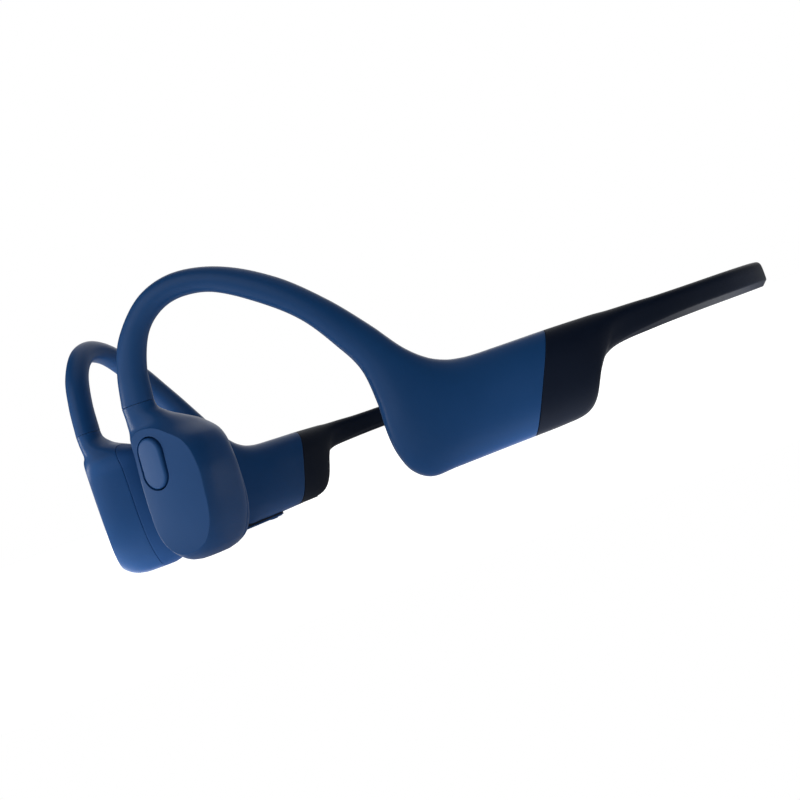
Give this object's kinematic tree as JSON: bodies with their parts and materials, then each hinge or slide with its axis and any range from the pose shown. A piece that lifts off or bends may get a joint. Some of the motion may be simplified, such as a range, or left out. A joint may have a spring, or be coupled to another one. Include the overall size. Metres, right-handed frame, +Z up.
{
  "type": "bone conduction headphones",
  "caption": "Open-ear neckband headphones with ear hooks, control pods and bone conduction transducers that rest on the cheekbones.",
  "frame": {"origin": "centre of the bounding box in plan, on the surface the headset stands on", "axes": "+X to the wearer's left, +Y to the back of the head, +Z up; the neckband lies level"},
  "size_m": [0.123, 0.1405, 0.0482],
  "materials": {
    "blue_silicone": "soft touch",
    "black_silicone": "soft touch",
    "titanium": "drawn wire",
    "lead_jacket": "satin",
    "case_plastic": "matte",
    "battery_foil": "satin",
    "circuit_board": "satin",
    "chip_black": "matte",
    "steel": "satin",
    "magnet": "plated",
    "copper": "enamelled",
    "gold": "plated",
    "light_pipe": "frosted",
    "pad_silicone": "soft touch"
  },
  "bodies": {
    "neckband": {"band_skin": "black_silicone", "band_core": "titanium"},
    "left_arm": {"left_hook_skin": "blue_silicone", "left_pod_skin": "black_silicone", "left_hook_core": "titanium", "left_band_core": "titanium", "left_hook_lead": "lead_jacket", "left_pod_case": "case_plastic", "left_pod_cap": "case_plastic", "battery_cell": "battery_foil", "battery_board": "circuit_board", "left_transducer_shell": "blue_silicone", "left_contact_cover": "pad_silicone", "left_voice_coil": "copper", "left_coil_plate": "case_plastic", "button_board": "circuit_board", "button_switch": "steel"},
    "right_arm": {"right_hook_skin": "blue_silicone", "right_pod_skin": "black_silicone", "right_hook_core": "titanium", "right_band_core": "titanium", "right_hook_lead": "lead_jacket", "right_pod_case": "case_plastic", "right_pod_cap": "case_plastic", "main_board": "circuit_board", "radio_shield": "steel", "charge_chip": "chip_black", "antenna": "gold", "microphone": "steel", "charge_port": "case_plastic", "charge_pins": "gold", "charge_magnets": "magnet", "led_light_pipe": "light_pipe", "key_bar": "black_silicone", "key_switches": "steel", "right_transducer_shell": "blue_silicone", "right_contact_cover": "pad_silicone", "right_voice_coil": "copper", "right_coil_plate": "case_plastic"},
    "multifunction_button": {"button_cap": "blue_silicone"},
    "volume_up": {"volume_up_key": "blue_silicone"},
    "volume_down": {"volume_down_key": "blue_silicone"},
    "left_magnet": {"left_magnet_yoke": "steel", "left_magnet_disc": "magnet", "left_top_plate": "steel", "left_leaf_spring": "steel"},
    "right_magnet": {"right_magnet_yoke": "steel", "right_magnet_disc": "magnet", "right_top_plate": "steel", "right_leaf_spring": "steel"}
  },
  "joints": [
    {"name": "left_arm_flex", "type": "hinge", "parent": "neckband", "child": "left_arm", "pos_m": [0.04865, 0.04812, 0.0137], "axis": [0, 0, 1], "range_deg": [-3, 20], "stiffness_Nm_per_rad": 0.4},
    {"name": "right_arm_flex", "type": "hinge", "parent": "neckband", "child": "right_arm", "pos_m": [-0.04865, 0.04812, 0.0137], "axis": [0, 0, 1], "range_deg": [-20, 3], "stiffness_Nm_per_rad": 0.4},
    {"name": "button_press", "type": "slide", "parent": "left_arm", "child": "multifunction_button", "axis": [-0.5, 0.866, 0], "range_m": [0, 0.0005], "stiffness_N_per_m": 3000},
    {"name": "volume_up_press", "type": "slide", "parent": "right_arm", "child": "volume_up", "axis": [0, 0, 1], "range_m": [0, 0.0002], "stiffness_N_per_m": 4000},
    {"name": "volume_down_press", "type": "slide", "parent": "right_arm", "child": "volume_down", "axis": [0, 0, 1], "range_m": [0, 0.0002], "stiffness_N_per_m": 4000},
    {"name": "left_magnet_float", "type": "slide", "parent": "left_arm", "child": "left_magnet", "axis": [-0.5, 0.866, 0], "range_m": [-0.0003, 0.0003], "stiffness_N_per_m": 2400},
    {"name": "right_magnet_float", "type": "slide", "parent": "right_arm", "child": "right_magnet", "axis": [0.5, 0.866, 0], "range_m": [-0.0003, 0.0003], "stiffness_N_per_m": 2400}
  ]
}
